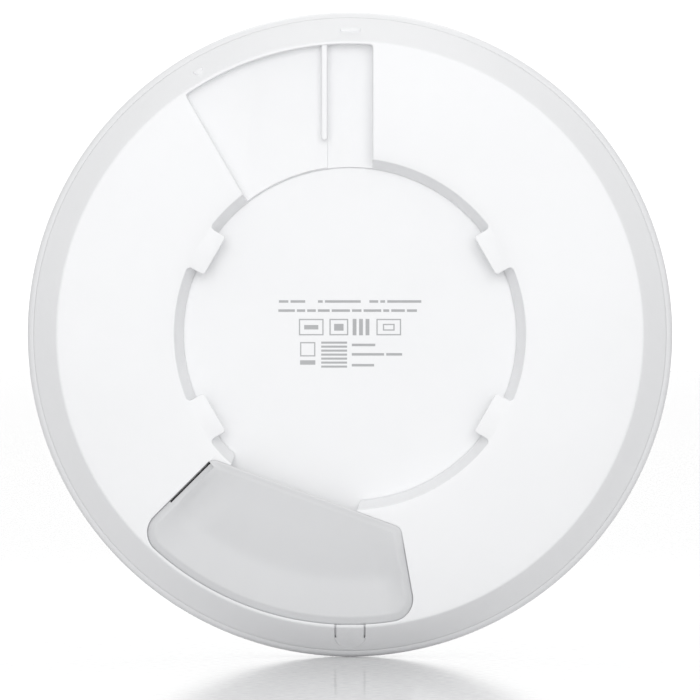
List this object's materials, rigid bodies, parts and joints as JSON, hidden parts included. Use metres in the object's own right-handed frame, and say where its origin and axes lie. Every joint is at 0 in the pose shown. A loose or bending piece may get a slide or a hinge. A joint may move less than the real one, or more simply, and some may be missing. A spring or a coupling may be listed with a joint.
{
  "type": "ceiling access point",
  "caption": "Round ceiling access point with a domed front cover, a light ring, a bayonet bracket well and a port bay under a lift-off cover.",
  "frame": {"origin": "centre of the rear mounting plane, on the bayonet's axis", "axes": "-Y out of the back towards the ceiling or wall, +Y out of the domed front, +Z towards the lock mark, +X to the right as the back is seen"},
  "size_m": [0.22, 0.048, 0.22],
  "materials": {
    "white_plastic": "fine matt moulded",
    "grey_plastic": "fine matt moulded",
    "seal_rubber": "smooth",
    "clear_guide": "frosted",
    "circuit_board": "solder mask",
    "spreader_aluminium": "as cast",
    "chip_epoxy": "matt",
    "pad_silicone": "soft",
    "tinned_steel": "tinned",
    "black_plastic": "moulded",
    "contact_gold": "plated",
    "ferrite": "pressed powder",
    "capacitor_can": "sleeved",
    "button_plastic": "moulded",
    "antenna_plate_steel": "plated",
    "antenna_brass": "stamped",
    "lead_jacket": "extruded",
    "holder_plastic": "moulded",
    "led_lens": "clear",
    "ribbon_film": "film",
    "screw_steel": "zinc plated",
    "standoff_brass": "turned"
  },
  "bodies": {
    "housing": {"back_shell": "white_plastic", "front_cover": "white_plastic", "rim_gasket": "seal_rubber", "port_seal": "seal_rubber", "light_guide_ring": "clear_guide", "main_board": "circuit_board", "led_board": "circuit_board", "heat_spreader": "spreader_aluminium", "processor_chip": "chip_epoxy", "radio_chip": "chip_epoxy", "memory_chip": "chip_epoxy", "thermal_pad_processor": "pad_silicone", "thermal_pad_radio": "pad_silicone", "shield_can_radio": "tinned_steel", "shield_can_power": "tinned_steel", "jack_shield": "tinned_steel", "jack_insert": "black_plastic", "jack_contacts": "contact_gold", "lan_transformer": "black_plastic", "power_inductor": "ferrite", "capacitor_1": "capacitor_can", "capacitor_2": "capacitor_can", "capacitor_3": "capacitor_can", "reset_switch": "black_plastic", "antenna_plate": "antenna_plate_steel", "antenna_1": "antenna_brass", "antenna_2": "antenna_brass", "antenna_3": "antenna_brass", "antenna_4": "antenna_brass", "coax_lead_1": "lead_jacket", "coax_lead_2": "lead_jacket", "coax_lead_3": "lead_jacket", "coax_lead_4": "lead_jacket", "led_holder": "holder_plastic", "status_leds": "led_lens", "led_ribbon": "ribbon_film", "board_screws": "screw_steel", "spreader_screws": "screw_steel", "plate_screws": "screw_steel", "led_screws": "screw_steel", "standoffs": "standoff_brass"},
    "port_cover": {"port_cover": "grey_plastic"},
    "cable_exit_plug": {"cable_exit_plug": "white_plastic"},
    "reset_button": {"reset_button": "button_plastic"}
  },
  "joints": [
    {"name": "port_cover_lift", "type": "slide", "parent": "housing", "child": "port_cover", "axis": [0, -1, 0], "range_m": [0, 0.03]},
    {"name": "cable_exit_plug_pull", "type": "slide", "parent": "housing", "child": "cable_exit_plug", "axis": [0, -1, 0], "range_m": [0, 0.025]},
    {"name": "reset_button_press", "type": "slide", "parent": "housing", "child": "reset_button", "axis": [0, 1, 0], "range_m": [0, 0.0005], "stiffness_N_per_m": 1500, "springref_m": -0.0002}
  ]
}
